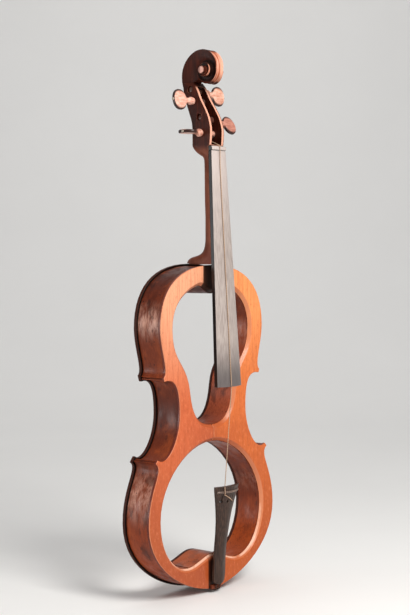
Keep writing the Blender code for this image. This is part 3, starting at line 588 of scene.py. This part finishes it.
def scroll():
    """The scroll: a band with two flutes round the outside, and a hollowed turn on each face that climbs to the eye."""
    first, last, step = -30.0, 900.0, 7.5
    steps = int((last - first) / step)
    turn = int(360 / step)
    shares = (0.0, 0.05, 0.14, 0.26, 0.4, 0.55, 0.7, 0.84, 0.94, 1.0)
    bm = bmesh.new()

    def spot(x, r, phi):
        a = math.radians(phi)
        return bm.verts.new(at(x, min(EYE_Y + r * math.cos(a), 38.18), min(EYE_Z + r * math.sin(a), 591.0)))

    sides = {}
    for side in (-1, 1):
        rims, fields = [], []
        for i in range(steps + 1):
            phi = first + step * i
            r0, w0 = curve(TURNS, phi), curve(WIDTH, phi)
            r1 = curve(TURNS, phi + 360) if phi + 360 < last else 4.0
            gap = max(r0 - r1, 0.0)
            dip = min(0.14 * gap, 1.7)
            rims.append(spot(side * (w0 - 0.45), r0, phi))
            field = []
            for s in shares:
                r = r0 - min(0.45, 0.3 * gap) - (gap - min(0.45, 0.3 * gap) - min(0.03, 0.05 * gap)) * s
                field.append(spot(side * (w0 - dip * math.sin(math.pi * 0.85 * s ** 1.2)), r, phi))
            fields.append(field)
        eye = [spot(side * 16.55, 4.0, first + step * i) for i in range(turn)]
        lip = [spot(side * 17.0, 3.5, first + step * i) for i in range(turn)]
        for i in range(steps):
            bm.faces.new((rims[i], rims[i + 1], fields[i + 1][0], fields[i][0]))
            for j in range(len(shares) - 1):
                bm.faces.new((fields[i][j], fields[i + 1][j], fields[i + 1][j + 1], fields[i][j + 1]))
            if i + turn <= steps - 1:
                top = (rims[i + turn], rims[i + turn + 1])
            else:
                top = (eye[i % turn], eye[(i + 1) % turn])
            bm.faces.new((fields[i][-1], fields[i + 1][-1], top[1], top[0]))
        for i in range(turn):
            bm.faces.new((eye[i], eye[(i + 1) % turn], lip[(i + 1) % turn], lip[i]))
        middle = spot(side * 17.0, 0.0, 0.0)
        for i in range(turn):
            bm.faces.new((lip[i], lip[(i + 1) % turn], middle))
        # where the last turn runs into the eye
        k = steps % turn
        join_face = [rims[steps]] + fields[steps] + [eye[k]]
        bm.faces.new(join_face)
        sides[side] = (rims, fields)
    left, right = sides[-1], sides[1]
    parts = 16
    rows = []
    for i in range(turn + 1):
        phi = first + step * i
        r0, w0 = curve(TURNS, phi), curve(WIDTH, phi) - 0.45
        fade = min(1.0, i / 6.0, (turn - i) / 6.0)
        row = [left[0][i]]
        for j in range(1, parts):
            u = -1 + 2 * j / parts
            flute = 1.0 * fade * math.sin(math.pi * abs(u)) ** 2
            row.append(spot(u * w0, r0 - flute, phi))
        row.append(right[0][i])
        rows.append(row)
    for a, b in zip(rows, rows[1:]):
        for j in range(parts):
            bm.faces.new((a[j], a[j + 1], b[j + 1], b[j]))
    bm.faces.new(rows[0] + right[1][0] + rows[-1][::-1] + left[1][0][::-1])
    return new_object("scroll_carved", bm, NECK)


def carve_neck():
    neck = neck_stem()
    join(neck, scroll(), "UNION")
    bm, rows = bmesh.new(), []
    for z in (486.5, 489, 493, 497, 501, 507, 513, 518, 524, 530, 537, 542, 546, 551.0):
        w, floor = curve(SLOT, z), curve(PEGBOX_BACK, z) - 6.0
        front = -30.0 if z <= 520 else curve(PEGBOX_FRONT, z) - 10.0
        rows.append([bm.verts.new(at(x, y, z)) for x, y in ((-w, front), (w, front), (w, floor), (0.0, floor + 0.8), (-w, floor))])
    skin(bm, rows)
    join(neck, new_object("slot_tool", bm, NECK), "DIFFERENCE")
    for side, y, z, sy, sz, w, turn, start, length in PEGS.values():
        bm, rows = bmesh.new(), []
        for x, r in ((side * (w + 6), 4.25), (-side * (w + 6), 3.65)):
            rows.append([bm.verts.new(at(x, y + sy * x + r * math.cos(2 * math.pi * i / 48), z + sz * x + r * math.sin(2 * math.pi * i / 48))) for i in range(48)])
        skin(bm, rows)
        join(neck, new_object("hole_tool", bm, NECK), "DIFFERENCE")
    bm = bmesh.new()
    bm.from_mesh(neck.data)
    bmesh.ops.remove_doubles(bm, verts=bm.verts, dist=1e-5)
    for f in bm.faces:
        f.smooth = True
    for e in bm.edges:
        e.smooth = len(e.link_faces) == 2 and e.calc_face_angle(0.0) < math.radians(32)
    bm.to_mesh(neck.data)
    bm.free()
    weighted = neck.modifiers.new("weighted", "WEIGHTED_NORMAL")
    weighted.keep_sharp = True
    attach(neck, "root")
    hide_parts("neck")


def turn_peg(name):
    """A turned peg: tapered shaft, collar, and a thin oval head with a crisp rim and slightly hollowed faces."""
    side, y, z, sy, sz, w, turn, start, length = PEGS[name]
    shaft = ((-w + 1.4, 3.35), (start - 10.2, 3.9), (start - 10.0, 4.2), (start - 7.5, 4.3), (start - 7.0, 3.1))
    wide = shaft + tuple((start + length * share, h) for share, h in HEAD)
    thick = shaft + tuple((start + length * share, t) for share, t in ((0.0, 2.1), (0.055, 2.2), (0.97, 2.2), (1.0, 1.9)))
    stops = [-w + 1.4, -w + 1.9, 0.0, w + 0.4] + [start - d for d in (10.2, 10.1, 10.0, 9.0, 8.0, 7.6, 7.4, 7.2, 7.0, 6.4, 5.0, 3.5, 2.0, 1.0)]
    stops += [start + length * (1 - math.cos(math.pi * i / 44)) / 2 for i in range(45)]
    lean = Vector((1, 0, 0)).rotation_difference(Vector((1, sy, sz))).to_matrix()
    bm, rows, count = bmesh.new(), [], 56
    rim = bm.verts.layers.float.new("rim")
    k = math.radians(turn)
    for n, s in enumerate(stops):
        a, b = curve(wide, s), curve(thick, s)
        head = min(max((s - start + 3.0) / 3.0, 0.0), 1.0)
        power = 1.0 - 0.66 * head
        ring = []
        for i in range(count):
            t = 2 * math.pi * i / count
            c, d = math.cos(t), math.sin(t)
            u, v = a * c, b * math.copysign(abs(d) ** power, d)
            v *= 1.0 - 0.12 * head * (1 - abs(c)) * min(1.0, (start + length - s) / 5.0)
            if n == 0:
                u, v = u * 0.86, v * 0.86
            spot = Vector((side * s, u * math.sin(k) + v * math.cos(k), u * math.cos(k) - v * math.sin(k)))
            ring.append(bm.verts.new(at(0, y, z) + lean @ spot * MM))
            # Weight for the painted shade on the head's rim.
            share = min(max((s - start) / 0.8, 0.0), 1.0)
            ring[-1][rim] = 1.0 if n == len(stops) - 1 else share * min(max((0.9 - abs(d) ** power) / 0.12, 0.0), 1.0)
        rows.append(ring)
    skin(bm, rows)
    # Each peg's tones are matched to how bright it shows; peg_e's darker tones are painted shade.
    tone = {"peg_d": ((212, 148, 128), (238, 188, 168)), "peg_a": ((204, 142, 118), (230, 178, 156)), "peg_e": ((162, 102, 86), (190, 130, 112)), "peg_g": ((176, 112, 92), (230, 176, 156))}[name]
    own = {"stub_from": 0.0012, "stub_to": 0.0095, "rim_shade_to": -0.028} if name == "peg_g" else {}
    wood = pale_wood("peg_wood" + name[3:], (0.3, 1, 1), srgb(*tone[0]), srgb(*tone[1]), srgb(150, 90, 68), w * MM, **own)
    obj = new_object(name + "_turned", bm, wood, 50.0)
    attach(obj, name)
    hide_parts(name)


carve_neck()
for peg in PEGS:
    turn_peg(peg)


# the free length of string runs straight from the end of the fingerboard to the tailpiece
start, end = at(-3.9, -28.4, 224.0), at(-10.1, -23.7, 116.2)
span = tube_mesh("string_free", [start.lerp(end, i / 60) for i in range(61)], 0.44 * MM, GUT)
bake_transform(span)
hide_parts("string_span")

# the tailgut: two legs over the saddle and round the button, as one loop
leg = [(2.6, -4.7, 5.2), (2.6, -4.5, 3.0), (2.6, -4.3, 1.0), (2.6, -3.8, -0.7), (2.6, -2.6, -1.3), (2.6, 2.0, -1.3), (2.9, 8.0, -1.25), (3.4, 14.0, -1.2), (3.7, 18.0, -1.2)]
loop = [(-x, y, z) for x, y, z in leg] + [(-2.9, 20.9, -1.2), (-1.2, 22.4, -1.2), (1.2, 22.4, -1.2), (2.9, 20.9, -1.2)] + leg[::-1]
gut_loop = tube_mesh("tailgut_loop", [at(*p) for p in loop], 0.7 * MM, DARK_GUT)
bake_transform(gut_loop)
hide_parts("tailgut")


# ---- floor, backdrop and light ---------------------------------------------------------------------
def studio_paper():
    m = Nodes("studio_paper", 0.85)
    return m.done(m.mix(m.noise(3.0), srgb(238, 237, 235), srgb(245, 244, 242)))


PAPER = studio_paper()
FLOOR = -0.5532


def sweep():
    """The pale floor, carried up behind in one wide curve."""
    behind, across = Vector((0.759, 0.651, 0)), Vector((0.651, -0.759, 0))
    run = [(-9.0, FLOOR), (1.4, FLOOR)] + [(1.4 + 1.6 * math.sin(a), FLOOR + 1.6 * (1 - math.cos(a))) for a in (math.pi / 2 * i / 24 for i in range(1, 25))] + [(3.0, 4.5)]
    mesh = bpy.data.meshes.new("floor")
    points = [tuple(behind * d + across * w + Vector((0, 0, h))) for d, h in run for w in (-8.0, 8.0)]
    mesh.from_pydata(points, [], [(2 * i, 2 * i + 1, 2 * i + 3, 2 * i + 2) for i in range(len(run) - 1)])
    for f in mesh.polygons:
        f.use_smooth = True
    mesh.materials.append(PAPER)
    obj = bpy.data.objects.new("floor", mesh)
    scene.collection.objects.link(obj)


sweep()


def soft_box(name, place, aim, width, height, power, color=(1, 1, 1), spread=180.0):
    data = bpy.data.lights.new(name, "AREA")
    data.shape, data.size, data.size_y, data.energy, data.color = "RECTANGLE", width, height, power, color
    data.spread = math.radians(spread)
    lamp = bpy.data.objects.new(name, data)
    scene.collection.objects.link(lamp)
    lamp.location = place
    lamp.rotation_mode = "QUATERNION"
    lamp.rotation_quaternion = (Vector(place) - Vector(aim)).to_track_quat("Z", "Y")


soft_box("key", (-0.22, -0.95, 0.5), (0, 0, -0.25), 0.5, 0.6, 17, (1.0, 0.985, 0.96))
soft_box("rim", (-1.51, 1.31, -0.24), (0, 0, -0.27), 0.5, 0.6, 0.9, spread=60.0)
soft_box("fill", (-1.5, -0.6, 0.0), (0, 0, -0.25), 1.2, 1.2, 1.0)
soft_box("top", (0.0, 0.3, 2.2), (0, 0, -0.55), 2.4, 2.4, 9)
soft_box("backdrop", (0.9, 0.77, 1.6), (2.3, 1.97, 0.2), 1.6, 1.0, 14)

world = bpy.data.worlds.new("studio")
scene.world = world
world.use_nodes = True
world.node_tree.nodes["Background"].inputs["Color"].default_value = (0.95, 0.95, 0.96, 1)
world.node_tree.nodes["Background"].inputs["Strength"].default_value = 0.3
